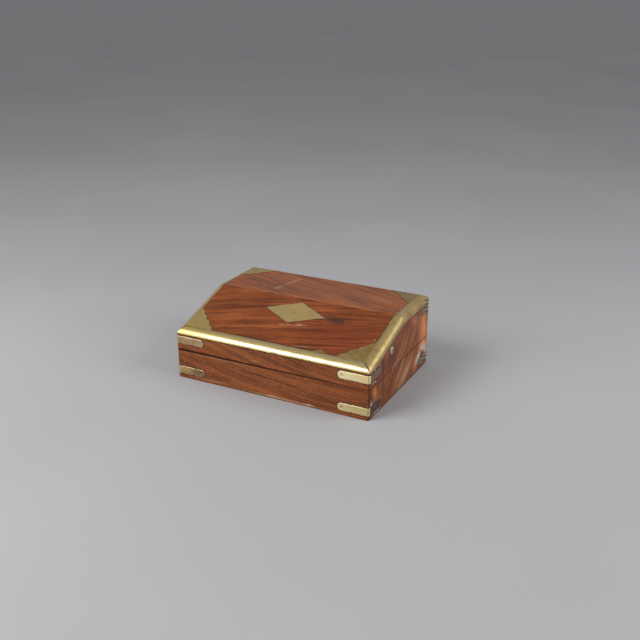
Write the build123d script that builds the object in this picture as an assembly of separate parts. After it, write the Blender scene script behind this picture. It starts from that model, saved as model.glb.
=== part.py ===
from build123d import *
import os
from math import atan2, cos, sin, tan

# Slope-top keepsake box. A mitred wooden base and a mitred wooden lid are bound with brass.
# Origin: middle of the underside. +X runs along the front to the right, +Y to the back, +Z up.
# All lengths are in millimetres.

# Wooden case
box_width = 300.0
box_depth = 210.0
front_height = 72.0          # where the slope's plane meets the front face
rear_height = 107.0
bend_setback = 112.0         # from the front face to the bend in the top
split_height = 43.5          # middle of the gap between base and lid
split_gap = 0.5
wall = 9.0
top_thickness = 4.5
bottom_thickness = 6.0
bottom_ledge = 4.5           # how far the bottom board is let in under the walls
upright_radius = 3.0         # rounding of the four upright corners
arris_radius = 8.5           # rounding of the front and side edges of the top
rear_arris_radius = 9.0      # rounding of the rear edge of the top
split_ease = 0.5             # small bevel on the outer edges at the split
lining_thickness = 1.2
lining_clearance = 0.5

# Brass let into the wood
brass_thickness = 1.2
brass_proud = 0.2            # how far the brass stands above the wood
edging_front_flange = 14.0   # width on the top, along the front
edging_right_flange = 14.0
edging_left_flange = 10.5
edging_front_drop = 4.9
edging_side_drop = 10.9
front_plate_leg = 40.5       # along both borders of the edging, from its inner corner
rear_plate_leg = 45.0        # along the rear edge and along the edging
plate_steps = 4
step_rise = 0.75             # share of a step's pitch that its steep part climbs
step_run = 0.4               # share of a step's pitch that its steep part moves inwards
lozenge_length = 94.0
lozenge_height = 48.0
lozenge_rise = 84.0          # its centre, up the slope from the front face
lozenge_offset = -2.0        # its centre, sideways from the middle

# Corner straps
strap_width = 11.7
strap_arm_long = 46.0        # on the front and the back
strap_arm_short = 38.0       # on the ends
rear_lid_strap_arm = 29.0    # on the ends, of the lid's rear straps
base_strap_bottom = 6.3
front_strap_drop = 2.7       # below the edging on the front
rear_strap_drop = 2.0        # below the edging on the ends

# Escutcheon pins
pin_head_radius = 1.15
pin_head_height = 0.35
pin_head_taper = 45.0        # degrees that the head's sides lean inwards
pin_head_facets = 8
pin_shank_radius = 0.6
pin_length = 4.0             # short of the panel's underside
pin_end_distance = 6.5       # from the round end of a strap
plate_pin_inset = 9.0        # from both borders of a corner plate

# Cup washer and screw in the lid's right end
washer_radius = 5.5
washer_bore_radius = 2.5
washer_height = 1.2
washer_crown_radius = 3.6
washer_along = 69.3          # its centre, up the slope from the front face
washer_clearance = 4.75      # between it and the edging above it
screw_head_height = 0.8
screw_shank_radius = 1.5
screw_length = 7.0

# Butt hinges
hinge_length = 40.0
hinge_inset = 65.0           # from an end of the box to the middle of a hinge
leaf_thickness = 1.0
leaf_reach = 7.5             # how far a leaf runs into the back board
knuckle_count = 3
knuckle_radius = 2.4
knuckle_gap = 0.2
hinge_pin_radius = 1.0
hinge_pin_overhang = 0.5
hinge_pin_clearance = 0.05
barrel_clearance = 0.3       # between the barrel and the back of the box
leaf_screw_spacing = 24.0
leaf_screw_head_radius = 1.9
leaf_screw_head_taper = 45.0
leaf_screw_head_facets = 12
leaf_screw_head_depth = 0.8
leaf_screw_shank_radius = 0.9
leaf_screw_length = 9.0

# Places worked out from the sizes above
right_x = box_width / 2
rear_y = box_depth / 2
front_y = -rear_y
slope_angle = atan2(rear_height - front_height, bend_setback)
base_top = split_height - split_gap / 2
lid_bottom = split_height + split_gap / 2
inner_border_x = {1: right_x - edging_right_flange, -1: right_x - edging_left_flange}
hinge_y = rear_y + barrel_clearance + knuckle_radius
knuckle_pitch = hinge_length / knuckle_count
shank_facets = 6             # of every pin and screw
beyond = 20.0                # cutting tools reach this far past what they cut
far = box_width + box_depth
edge_search = 0.01           # half the height of the band in which an edge is looked for
slope_plane = Plane(
    origin=(0, front_y, front_height),
    x_dir=(1, 0, 0),
    z_dir=(0, -sin(slope_angle), cos(slope_angle)),
)


def slope_point(along, depth):
    """Y and Z of a point up the slope from the front face, at a depth below its surface."""
    y = front_y + along * cos(slope_angle) + depth * sin(slope_angle)
    z = front_height + along * sin(slope_angle) - depth * cos(slope_angle)
    return y, z


def bend_point(depth):
    """Y and Z of a point on the bend's mitre, at a depth below both surfaces of the top."""
    return front_y + bend_setback + depth * tan(slope_angle / 2), rear_height - depth


def polygon(*points):
    """A flat face from corner points."""
    return make_face(Polyline(*points, close=True))


def side_prism(points, low_x, high_x):
    """A prism along X whose outline is given in Y and Z."""
    start = Plane(origin=(low_x, 0, 0), x_dir=(0, 1, 0), z_dir=(1, 0, 0))
    return extrude(start * polygon(*points), high_x - low_x)


def block(low, high):
    """A box from its lowest to its highest corner."""
    size = [b - a for a, b in zip(low, high)]
    middle = [(a + b) / 2 for a, b in zip(low, high)]
    return Pos(*middle) * Box(*size)


def rounding_waste(high_y, top_z, radius):
    """What is cut away to round the rear edge of the top."""
    size = radius + beyond
    corner = Pos(high_y - radius + size / 2, top_z - radius + size / 2) * Rectangle(size, size)
    corner -= Pos(high_y - radius, top_z - radius) * Circle(radius)
    start = Plane(origin=(-far, 0, 0), x_dir=(0, 1, 0), z_dir=(1, 0, 0))
    return extrude(start * corner, 2 * far)


def both_sides(shape, side):
    """The shape itself for the right side (1), or its mirror image for the left (-1)."""
    return shape if side > 0 else mirror(shape, Plane.YZ)


# The closed box's outer form


def outer_form(grow):
    """The whole closed box, offset outwards by grow, with the arrises of its top rounded."""
    half_x = right_x + grow
    low_y, high_y = front_y - grow, rear_y + grow
    front_z = front_height + grow * (1 - sin(slope_angle)) / cos(slope_angle)
    bend_y, top_z = bend_point(-grow)
    corners = [(low_y, 0), (low_y, front_z), (bend_y, top_z), (high_y, top_z), (high_y, 0)]
    form = side_prism(corners, -half_x, half_x)
    across = form.edges().filter_by(Axis.X)
    arrises = [across.sort_by_distance((0, low_y, front_z))[0]]
    for x in (-half_x, half_x):
        arrises.append(form.edges().sort_by_distance((x, (low_y + bend_y) / 2, top_z))[0])
        arrises.append(form.edges().sort_by_distance((x, (bend_y + high_y) / 2, top_z))[0])
    form = fillet(arrises, arris_radius + grow)
    form -= rounding_waste(high_y, top_z, rear_arris_radius + grow)
    plan = RectangleRounded(2 * half_x, 2 * high_y, upright_radius + grow)
    return form & extrude(plan, far)


def eased(form, low_z, high_z, edge_z):
    """A level slice of the outer form, with the outer edge at edge_z bevelled."""
    piece = form & block((-far, -far, low_z), (far, far, high_z))
    band = (edge_z - edge_search, edge_z + edge_search)
    loop = piece.edges().filter_by_position(Axis.Z, *band)
    return chamfer(loop, split_ease)


wood_form = outer_form(0)
skin = outer_form(brass_proud) - outer_form(brass_proud - brass_thickness)
base_form = eased(wood_form, 0, base_top, base_top)
lid_form = eased(wood_form, lid_bottom, far, lid_bottom)

# Regions that part the wood into boards


def wall_region(side):
    """One wall over the full height, mitred at 45 degrees at both ends."""
    out_x, out_y = right_x + beyond, rear_y + beyond
    in_x, in_y = right_x - wall, rear_y - wall
    if side in ("front", "back"):
        face = polygon((-out_x, out_y), (out_x, out_y), (in_x, in_y), (-in_x, in_y))
    else:
        face = polygon((out_x, -out_y), (out_x, out_y), (in_x, in_y), (in_x, -in_y))
    region = Pos(0, 0, -beyond) * extrude(face, far)
    if side == "front":
        return mirror(region, Plane.XZ)
    if side == "left":
        return mirror(region, Plane.YZ)
    return region


def panel_region(panel):
    """The space of the slope panel or the flat panel, open above and outwards."""
    if panel == "slope":
        ends = [slope_point(-beyond, top_thickness), slope_point(-beyond, -beyond)]
        outline = ends + [bend_point(-beyond), bend_point(top_thickness)]
    else:
        outline = [
            bend_point(top_thickness),
            bend_point(-beyond),
            (rear_y + beyond, rear_height + beyond),
            (rear_y + beyond, rear_height - top_thickness),
        ]
    return side_prism(outline, -far, far)


# Regions that part the brass skin into strips, plates and straps


def corner_mitre(side):
    """Plane of the edging's mitre at a front corner, facing the strip on the end."""
    up, across = edging_front_flange, right_x - inner_border_x[side]
    return Plane(
        origin=(side * right_x, front_y, front_height),
        x_dir=(-side * across, up * cos(slope_angle), up * sin(slope_angle)),
        z_dir=(side * up, across * cos(slope_angle), across * sin(slope_angle)),
    )


# The upright rear face below the rounding, where the top's brass stops
brass_depth = brass_thickness - brass_proud
rear_face_zone = block(
    (-right_x + brass_depth, rear_y - brass_depth, 0),
    (right_x - brass_depth, rear_y + beyond, rear_height - rear_arris_radius),
)


def front_edging():
    """The strip along the front: a wide flange up the slope and a narrow one down the front."""
    inner_y, inner_z = slope_point(edging_front_flange, 0)
    low_z = front_height - edging_front_drop
    region = side_prism(
        [
            (front_y - beyond, low_z),
            (inner_y, low_z),
            (inner_y, inner_z),
            slope_point(edging_front_flange, -beyond),
            (front_y - beyond, front_height + beyond),
        ],
        -far,
        far,
    )
    strip = skin & region
    for side in (-1, 1):
        strip = split(strip, corner_mitre(side), keep=Keep.BOTTOM)
    return strip


def side_edging(side, panel):
    """The strip along one side of the slope or of the flat, mitred at the bend."""
    if panel == "slope":
        ends = [slope_point(-beyond, edging_side_drop), slope_point(-beyond, -beyond)]
        outline = ends + [bend_point(-beyond), bend_point(edging_side_drop)]
    else:
        outline = [
            bend_point(edging_side_drop),
            bend_point(-beyond),
            (rear_y + beyond, rear_height + beyond),
            (rear_y + beyond, rear_height - edging_side_drop),
        ]
    region = side_prism(outline, inner_border_x[side], far)
    region &= block((-far, -far, front_height - edging_front_drop), (far, far, far))
    strip = skin & both_sides(region, side)
    if panel == "slope":
        return split(strip, corner_mitre(side), keep=Keep.TOP)
    return strip - rear_face_zone


def plate_corners(leg):
    """Corners of a right-angled plate whose long side is a stair of steep and shallow steps."""
    pitch = leg / plate_steps
    corners = [(leg, 0)]
    for step in range(plate_steps):
        across, up = leg - step * pitch, step * pitch
        corners.append((across - step_run * pitch, up + step_rise * pitch))
        corners.append((across - pitch, up + pitch))
    return corners


def front_plate(side):
    """Stepped plate on the slope, in the inner corner of the edging."""
    x0, v0 = inner_border_x[side], edging_front_flange
    stair = [(x0 - x, v0 + v) for x, v in plate_corners(front_plate_leg)]
    face = slope_plane * polygon((x0, v0), *stair)
    return skin & both_sides(extrude(face, beyond / 4, both=True), side)


def rear_plate(side):
    """Stepped plate on the flat and over its rounded rear edge, beside the edging."""
    x0 = inner_border_x[side]
    stair = [(x0 - x, rear_y - y) for x, y in plate_corners(rear_plate_leg)]
    outside = [(x0, rear_y + beyond), (stair[0][0], rear_y + beyond)]
    face = Pos(0, 0, rear_height - rear_arris_radius) * polygon(*outside, *stair)
    region = extrude(face, rear_arris_radius + beyond)
    return (skin & both_sides(region, side)) - rear_face_zone


def lozenge():
    """Four-sided plate in the middle of the slope."""
    x, v = lozenge_offset, lozenge_rise
    across, up = lozenge_length / 2, lozenge_height / 2
    face = slope_plane * polygon((x - across, v), (x, v - up), (x + across, v), (x, v + up))
    return skin & extrude(face, beyond / 4, both=True)


def strap_arm(plane, length, bottom):
    """Prism through the wall in the outline of one arm, from the upright corner to a round end."""
    radius = strap_width / 2
    middle = bottom + radius
    straight = length - radius + beyond
    outline = Pos(beyond - straight / 2, middle) * Rectangle(straight, strap_width)
    outline += Pos(radius - length, middle) * Circle(radius)
    return extrude(plane * outline, beyond / 2, both=True)


def at_corner(shape, side, end):
    """Moves a shape made for the back right corner to the right or left, back or front one."""
    shape = both_sides(shape, side)
    return shape if end > 0 else mirror(shape, Plane.XZ)


back_face = Plane(origin=(right_x, rear_y, 0), x_dir=(1, 0, 0), z_dir=(0, -1, 0))
end_face = Plane(origin=(right_x, rear_y, 0), x_dir=(0, 1, 0), z_dir=(1, 0, 0))


def strap(side, end, bottom, end_arm):
    """Brass strap let in round an upright corner."""
    arms = strap_arm(back_face, strap_arm_long, bottom)
    arms += strap_arm(end_face, end_arm, bottom)
    return skin & at_corner(arms, side, end)


# Fasteners


def straight_shank(radius, length):
    """Faceted shank from Z = 0 downwards."""
    return extrude(RegularPolygon(radius, shank_facets), -length)


def escutcheon_pin(place):
    """Low faceted head on the brass, shank into the wood, along the plane's normal."""
    outline = RegularPolygon(pin_head_radius, pin_head_facets)
    head = extrude(outline, pin_head_height, taper=pin_head_taper)
    return place * (head + straight_shank(pin_shank_radius, pin_length))


def strap_pins(side, end, bottom, end_arm):
    """One pin near the round end of each arm of a strap."""
    height = bottom + strap_width / 2
    pin_x = right_x - (strap_arm_long - pin_end_distance)
    pin_y = rear_y - (end_arm - pin_end_distance)
    places = [
        Plane(origin=(pin_x, rear_y + brass_proud, height), z_dir=(0, 1, 0)),
        Plane(origin=(right_x + brass_proud, pin_y, height), z_dir=(1, 0, 0)),
    ]
    return [at_corner(escutcheon_pin(place), side, end) for place in places]


def plate_pins():
    """Pins through the corner plates and one through the lozenge."""
    upright_pin = escutcheon_pin(Plane.XY)
    pins = []
    inset = plate_pin_inset
    for side, x0 in inner_border_x.items():
        for x, v in ((inset, inset), (3 * inset, inset / 2), (inset / 2, 3 * inset)):
            pin = Pos(x0 - x, edging_front_flange + v, brass_proud) * upright_pin
            pins.append(both_sides(slope_plane * pin, side))
        rear_border = rear_y - rear_arris_radius
        for x, y in ((inset, inset), (2 * inset, inset / 2)):
            pin = Pos(x0 - x, rear_border - y, rear_height + brass_proud) * upright_pin
            pins.append(both_sides(pin, side))
    lozenge_pin = Pos(lozenge_offset, lozenge_rise, brass_proud) * upright_pin
    return pins + [slope_plane * lozenge_pin]


def leaf_screw():
    """Countersunk screw pointing down, its head flush with Z = 0."""
    outline = RegularPolygon(leaf_screw_head_radius, leaf_screw_head_facets)
    head = extrude(outline, leaf_screw_head_depth, taper=leaf_screw_head_taper)
    head = mirror(head, Plane.XY)
    return head + straight_shank(leaf_screw_shank_radius, leaf_screw_length)


washer_depth = edging_side_drop + washer_clearance + washer_radius
end_washer_place = Plane(
    origin=(right_x, *slope_point(washer_along, washer_depth)), z_dir=(1, 0, 0)
)


def cup_washer():
    """Ring with a sloping rim on the lid's right end."""
    section = polygon(
        (washer_bore_radius, 0),
        (washer_radius, 0),
        (washer_crown_radius, washer_height),
        (washer_bore_radius, washer_height),
    )
    return end_washer_place * revolve(Plane.XZ * section, Axis.Z)


def washer_screw():
    """Round-headed screw in the cup washer."""
    head = Pos(0, 0, screw_head_height / 2) * Cylinder(washer_bore_radius, screw_head_height)
    return end_washer_place * (head + straight_shank(screw_shank_radius, screw_length))


# Butt hinges, whose leaves are let into the meeting edges of the two back boards


def barrel(radius, low_x, high_x):
    """Cylinder about the hinge line."""
    middle = Pos((low_x + high_x) / 2, hinge_y, split_height)
    return middle * Rot(0, 90, 0) * Cylinder(radius, high_x - low_x)


def leaf_heights(owner):
    """Lower and upper face of a leaf, flush with the edge that it is let into."""
    if owner == "base":
        return base_top - leaf_thickness, base_top
    return lid_bottom, lid_bottom + leaf_thickness


def leaf_screws(owner, middle_x):
    """Countersunk screws through one leaf into the edge of the back board."""
    screw = leaf_screw()
    if owner == "lid":
        screw = mirror(screw, Plane.XY)
    height = base_top if owner == "base" else lid_bottom
    screws = []
    for side in (-1, 1):
        x = middle_x + side * leaf_screw_spacing / 2
        screws.append(Pos(x, rear_y - leaf_reach / 2, height) * screw)
    return screws


def hinge_leaf(owner, middle_x):
    """Leaf with its own knuckles, cleared for the other leaf's."""
    low_x, high_x = -hinge_length / 2, hinge_length / 2
    low_z, high_z = leaf_heights(owner)
    leaf = block((low_x, rear_y - leaf_reach, low_z), (high_x, hinge_y, high_z))
    own_first = 0 if owner == "base" else 1
    for index in range(knuckle_count):
        start = low_x + index * knuckle_pitch
        end = start + knuckle_pitch
        if index % 2 == own_first:
            start += knuckle_gap / 2 if index > 0 else 0
            end -= knuckle_gap / 2 if index < knuckle_count - 1 else 0
            leaf += barrel(knuckle_radius, start, end)
    for index in range(knuckle_count):
        start = low_x + index * knuckle_pitch
        end = start + knuckle_pitch
        if index % 2 != own_first:
            low = (start - knuckle_gap / 2, rear_y, -far)
            leaf -= block(low, (end + knuckle_gap / 2, far, far))
    bore = hinge_pin_radius + (0 if owner == "base" else hinge_pin_clearance)
    leaf -= barrel(bore, low_x - beyond, high_x + beyond)
    leaf = Pos(middle_x, 0, 0) * leaf
    return leaf - leaf_screws(owner, middle_x)


def hinge_pin(middle_x):
    """Pin through all knuckles, fast in those of the base leaf."""
    reach = hinge_length / 2 + hinge_pin_overhang
    return Pos(middle_x, 0, 0) * barrel(hinge_pin_radius, -reach, reach)


def leaf_seat(owner, middle_x):
    """What is cut from the edge of the back board for one leaf."""
    low_z, high_z = leaf_heights(owner)
    low = (middle_x - hinge_length / 2, rear_y - leaf_reach, low_z)
    return block(low, (middle_x + hinge_length / 2, rear_y + beyond, high_z))


# Pieces of the base

sides = {"left": -1, "right": 1}
ends = {"front": -1, "rear": 1}
walls = ("front", "back", "left", "right")
pieces = {}
base_brass = []
for end_name, end in ends.items():
    for side_name, side in sides.items():
        node = f"base_strap_{end_name}_{side_name}"
        pins = strap_pins(side, end, base_strap_bottom, strap_arm_short)
        pieces[node] = strap(side, end, base_strap_bottom, strap_arm_short) - pins
        pieces.setdefault("base_strap_pins", []).extend(pins)
        base_brass += [pieces[node], *pins]

bottom_x = right_x - wall + bottom_ledge
bottom_y = rear_y - wall + bottom_ledge
bottom_board = block((-bottom_x, -bottom_y, 0), (bottom_x, bottom_y, bottom_thickness))
pieces["base_bottom_board"] = bottom_board
lining_x = right_x - wall - lining_clearance
lining_y = rear_y - wall - lining_clearance
pieces["floor_lining"] = block(
    (-lining_x, -lining_y, bottom_thickness),
    (lining_x, lining_y, bottom_thickness + lining_thickness),
)

base_hinge_cuts = []
lid_hinge_cuts = []
for side_name, side in sides.items():
    middle_x = side * (right_x - hinge_inset)
    for owner, cuts in (("base", base_hinge_cuts), ("lid", lid_hinge_cuts)):
        screws = leaf_screws(owner, middle_x)
        pieces[f"hinge_{side_name}_{owner}_leaf"] = hinge_leaf(owner, middle_x)
        pieces.setdefault(f"hinge_{owner}_screws", []).extend(screws)
        cuts += [leaf_seat(owner, middle_x), *screws]
    pieces[f"hinge_{side_name}_pin"] = hinge_pin(middle_x)

for wall_name in walls:
    board = base_form & wall_region(wall_name)
    board = board - bottom_board - base_brass
    if wall_name == "back":
        board = board - base_hinge_cuts
    pieces[f"base_{wall_name}_board"] = board

# Pieces of the lid

lid_brass = [front_edging(), lozenge()]
pieces["edging_front"], pieces["lozenge_inlay"] = lid_brass
for side_name, side in sides.items():
    for panel in ("slope", "flat"):
        pieces[f"edging_{side_name}_{panel}"] = side_edging(side, panel)
        lid_brass.append(pieces[f"edging_{side_name}_{panel}"])
    for end_name, plate in (("front", front_plate(side)), ("rear", rear_plate(side))):
        pieces[f"corner_plate_{end_name}_{side_name}"] = plate
        lid_brass.append(plate)

front_strap_bottom = front_height - edging_front_drop - front_strap_drop - strap_width
rear_strap_bottom = rear_height - edging_side_drop - rear_strap_drop - strap_width
for end_name, end in ends.items():
    bottom = front_strap_bottom if end < 0 else rear_strap_bottom
    end_arm = strap_arm_short if end < 0 else rear_lid_strap_arm
    for side_name, side in sides.items():
        node = f"lid_strap_{end_name}_{side_name}"
        pins = strap_pins(side, end, bottom, end_arm)
        pieces[node] = strap(side, end, bottom, end_arm) - pins
        pieces.setdefault("lid_strap_pins", []).extend(pins)
        lid_brass += [pieces[node], *pins]

pieces["plate_pins"] = plate_pins()
for node in [name for name in pieces if name.startswith(("corner_plate", "lozenge"))]:
    pieces[node] = pieces[node] - pieces["plate_pins"]
lid_brass += pieces["plate_pins"]

pieces["side_cup_washer"] = cup_washer()
pieces["side_screw"] = washer_screw()

panels = {name: panel_region(name) for name in ("slope", "flat")}
for panel, region in panels.items():
    pieces[f"lid_{panel}_panel"] = (lid_form & region) - lid_brass
for wall_name in walls:
    board = lid_form & wall_region(wall_name)
    board = board - list(panels.values()) - lid_brass
    if wall_name == "back":
        board = board - lid_hinge_cuts
    if wall_name == "right":
        board = board - pieces["side_screw"]
    pieces[f"lid_{wall_name}_board"] = board

os.makedirs("parts", exist_ok=True)
for node, shape in pieces.items():
    if isinstance(shape, list):
        shape = Compound(children=shape)
    export_step(shape, f"parts/{node}.step")
print("pieces", len(pieces))
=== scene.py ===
from math import atan2, cos, hypot, pi, radians, sin

import bmesh
import bpy
import numpy as np
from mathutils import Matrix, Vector
from mathutils.bvhtree import BVHTree


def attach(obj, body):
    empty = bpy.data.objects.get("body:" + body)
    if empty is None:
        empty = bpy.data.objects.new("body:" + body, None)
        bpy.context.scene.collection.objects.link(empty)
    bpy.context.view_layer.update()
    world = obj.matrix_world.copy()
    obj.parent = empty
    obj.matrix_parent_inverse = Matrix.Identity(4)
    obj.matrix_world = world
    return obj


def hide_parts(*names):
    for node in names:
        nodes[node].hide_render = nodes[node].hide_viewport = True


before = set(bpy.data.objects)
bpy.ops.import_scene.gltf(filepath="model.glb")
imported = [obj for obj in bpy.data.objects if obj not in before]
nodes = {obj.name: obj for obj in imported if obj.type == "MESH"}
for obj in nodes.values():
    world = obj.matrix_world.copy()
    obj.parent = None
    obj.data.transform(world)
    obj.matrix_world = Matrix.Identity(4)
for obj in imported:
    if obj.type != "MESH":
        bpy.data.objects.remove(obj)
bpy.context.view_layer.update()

scene = bpy.context.scene
print("frame loaded:", len(nodes), "nodes")

# Lens and sensor in millimetres, reach and place in metres, tilt and turn in degrees
camera = {"lens": 48.62, "sensor": 36.0, "reach": 200.0, "tilt": 21.81, "turn": 27.15,
          "place": (0.5471, -1.0180, 0.5395)}
cameraData = bpy.data.cameras.new("camera")
cameraData.lens = camera["lens"]
cameraData.sensor_width = camera["sensor"]
cameraData.clip_end = camera["reach"]
cameraObject = bpy.data.objects.new("camera", cameraData)
cameraObject.location = camera["place"]
cameraObject.rotation_euler = (radians(90 - camera["tilt"]), 0, radians(camera["turn"]))
scene.collection.objects.link(cameraObject)
scene.camera = cameraObject

# Softboxes: place, width and height in metres, power in watts. Both face the aim.
aim = (0, 0, 0.05)
lights = {
    "frontLight": {"place": (-0.88, -1.25, 1.25), "size": (1.05, 1.15), "power": 31.0},
    "rightLight": {"place": (1.6, 0.15, 1.1), "size": (1.0, 1.0), "power": 16.0},
}
for name, light in lights.items():
    lamp = bpy.data.lights.new(name, "AREA")
    lamp.shape = "RECTANGLE"
    lamp.size, lamp.size_y = light["size"]
    lamp.energy = light["power"]
    lampObject = bpy.data.objects.new(name, lamp)
    lampObject.location = light["place"]
    lampObject.rotation_euler = (Vector(light["place"]) - Vector(aim)).to_track_quat("Z", "Y").to_euler()
    scene.collection.objects.link(lampObject)

surroundings = {"colour": (0.5, 0.5, 0.52), "strength": 0.7}
world = bpy.data.worlds.new("surroundings")
world.use_nodes = True
background = world.node_tree.nodes["Background"]
background.inputs["Color"].default_value = (*surroundings["colour"], 1)
background.inputs["Strength"].default_value = surroundings["strength"]
scene.world = world
scene.view_settings.view_transform = "Standard"
print("camera and lights placed")

# The closed box's outer form, as in the part's source. All lengths are in millimetres until a mesh is made.
box = {
    "halfWidth": 150.0,
    "halfDepth": 105.0,
    "frontHeight": 72.0,
    "rearHeight": 107.0,
    "parting": 43.5,  # where base and lid meet
    "bendY": 7.0,
    "uprightRadius": 3.0,
    "rearRadius": 9.0,
    "frontFlange": 14.0,  # the edging's width on the slope, at the front
    "innerBorder": {1: 136.0, -1: -139.5},  # the edging's inner border on the right and on the left
    "frontDrop": 4.9,  # how far the edging comes down on the front, and on the ends
    "sideDrop": 10.9,
}
halfWidth, halfDepth = box["halfWidth"], box["halfDepth"]
frontTop, rearTop, bend = box["frontHeight"], box["rearHeight"], box["bendY"]
tilt = atan2(rearTop - frontTop, bend + halfDepth)
slopeLength = hypot(rearTop - frontTop, bend + halfDepth)
flatLength = halfDepth - box["rearRadius"] - bend


def onTop(x, run):
    # A walk back over the top: up the slope, along the flat, then round the rear edge.
    # Straight part = start + run * direction. Rounding = centre + radius * (sine, cosine of run / radius).
    x, run = np.broadcast_arrays(np.asarray(x, float), np.asarray(run, float))
    radius = box["rearRadius"]
    turn = np.clip((run - slopeLength - flatLength) / radius, 0, pi / 2)
    flat = np.clip(run - slopeLength, 0, flatLength)
    slope = run < slopeLength
    y = np.where(slope, -halfDepth + run * cos(tilt), bend + flat + radius * np.sin(turn))
    z = np.where(slope, frontTop + run * sin(tilt), rearTop - radius + radius * np.cos(turn))
    normal = [0 * x, np.where(slope, -sin(tilt), np.sin(turn)), np.where(slope, cos(tilt), np.cos(turn))]
    return np.stack([x, y, z], -1), np.stack(normal, -1)


def runAtDepth(y):
    # The run at which the walk back over the flat and its rounded edge has come to y, seen from above
    y = np.asarray(y, float)
    radius = box["rearRadius"]
    start = halfDepth - radius
    turned = np.arcsin(np.clip((y - start) / radius, 0, 1))
    return slopeLength + np.minimum(y, start) - bend + radius * turned


def roundCorner(sideX, sideY, walk, z):
    # A walk round one upright corner: along the front or back while walk is negative, then along the end.
    # Arc = centre + radius * (sine, cosine of the angle turned).
    walk, z = np.broadcast_arrays(np.asarray(walk, float), np.asarray(z, float))
    radius = box["uprightRadius"]
    half = radius * pi / 4
    angle = np.clip((walk + half) / radius, 0, pi / 2)
    before, after = np.minimum(walk + half, 0), np.maximum(walk - half, 0)
    x = halfWidth - radius + radius * np.sin(angle) + before
    y = halfDepth - radius + radius * np.cos(angle) - after
    normal = np.stack([sideX * np.sin(angle), sideY * np.cos(angle), 0 * z], -1)
    return np.stack([sideX * x, sideY * y, z], -1), normal


def stations(corners, step, closed=False):
    # Even stations on each side of a many-sided line, in the two numbers of a face
    corners = [np.asarray(corner, float) for corner in corners]
    if closed:
        corners.append(corners[0])
    runs = []
    for first, last in zip(corners[:-1], corners[1:]):
        count = max(1, int(np.ceil(np.linalg.norm(last - first) / step)))
        runs.append(first + (last - first) * (np.arange(count) / count)[:, None])
    if not closed:
        runs.append(corners[-1][None])
    return np.concatenate(runs).T


def makePiece(name, points, faces, body, material, uv=None):
    # A mesh object from points in millimetres; its doubles are merged and its faces turned outwards
    mesh = bpy.data.meshes.new(name)
    mesh.from_pydata((points * 0.001).tolist(), [], faces.tolist())
    if uv is not None:
        layer = mesh.uv_layers.new(name="UVMap")
        layer.data.foreach_set("uv", uv[faces.reshape(-1)].astype(np.float32).reshape(-1))
    work = bmesh.new()
    work.from_mesh(mesh)
    bmesh.ops.remove_doubles(work, verts=work.verts, dist=1e-7)
    bmesh.ops.recalc_face_normals(work, faces=work.faces)
    work.to_mesh(mesh)
    work.free()
    mesh.polygons.foreach_set("use_smooth", np.ones(len(mesh.polygons), bool))
    mesh.materials.append(material)
    piece = bpy.data.objects.new(name, mesh)
    scene.collection.objects.link(piece)
    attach(piece, body)
    return piece


def gridFaces(rows, columns, wrapRows, wrapColumns):
    # Four corners of every cell of a grid whose points are counted row by row
    row = np.arange(rows if wrapRows else rows - 1)[:, None]
    column = np.arange(columns if wrapColumns else columns - 1)[None]
    nextRow, nextColumn = (row + 1) % rows, (column + 1) % columns
    cells = [row * columns + column, row * columns + nextColumn,
             nextRow * columns + nextColumn, nextRow * columns + column]
    return np.stack(np.broadcast_arrays(*cells), -1).reshape(-1, 4)


# A carried oval: how many points go round it, and two waves of its width (size, pace per millimetre, start)
oval = {"sides": 8, "waves": ((0.12, 0.23, 0.0), (0.08, 0.61, 1.0)), "taper": 1.2}


def carryOval(path, width, height, closed, taper=oval["taper"]):
    # An oval carried along a path: point + cosine * half the width sideways + sine * height along the normal.
    # The width breathes a little on the way, and an open path ends in points.
    points, normals = path
    if closed:
        ahead = np.roll(points, -1, 0) - np.roll(points, 1, 0)
        length = np.cumsum(np.linalg.norm(points - np.roll(points, 1, 0), axis=1))
    else:
        ahead = np.gradient(points, axis=0)
        length = np.concatenate([[0], np.cumsum(np.linalg.norm(np.diff(points, axis=0), axis=1))])
    ahead /= np.linalg.norm(ahead, axis=1)[:, None]
    sideways = np.cross(ahead, normals)
    swell = 1 + sum(size * np.sin(length * pace + start) for size, pace, start in oval["waves"])
    if not closed:
        swell *= np.sqrt(np.clip(np.minimum(length, length[-1] - length) / taper, 0, 1))
    turn = np.linspace(0, 2 * pi, oval["sides"], endpoint=False)
    across = (swell * width / 2)[:, None, None] * np.cos(turn)[None, :, None] * sideways[:, None]
    upwards = (swell * height)[:, None, None] * np.sin(turn)[None, :, None] * normals[:, None]
    rings = points[:, None] + across + upwards
    uv = np.stack(np.broadcast_arrays(length[:, None] * 0.001, np.cos(turn)[None]), -1)
    return rings.reshape(-1, 3), gridFaces(len(points), oval["sides"], closed, True), uv.reshape(-1, 2)


def joinOvals(name, ovals, body, material):
    # Several ovals as one piece
    points, faces, uvs, start = [], [], [], 0
    for ovalPoints, ovalFaces, ovalUv in ovals:
        points.append(ovalPoints)
        faces.append(ovalFaces + start)
        uvs.append(ovalUv)
        start += len(ovalPoints)
    return makePiece(name, np.concatenate(points), np.concatenate(faces), body, material, np.concatenate(uvs))


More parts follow.
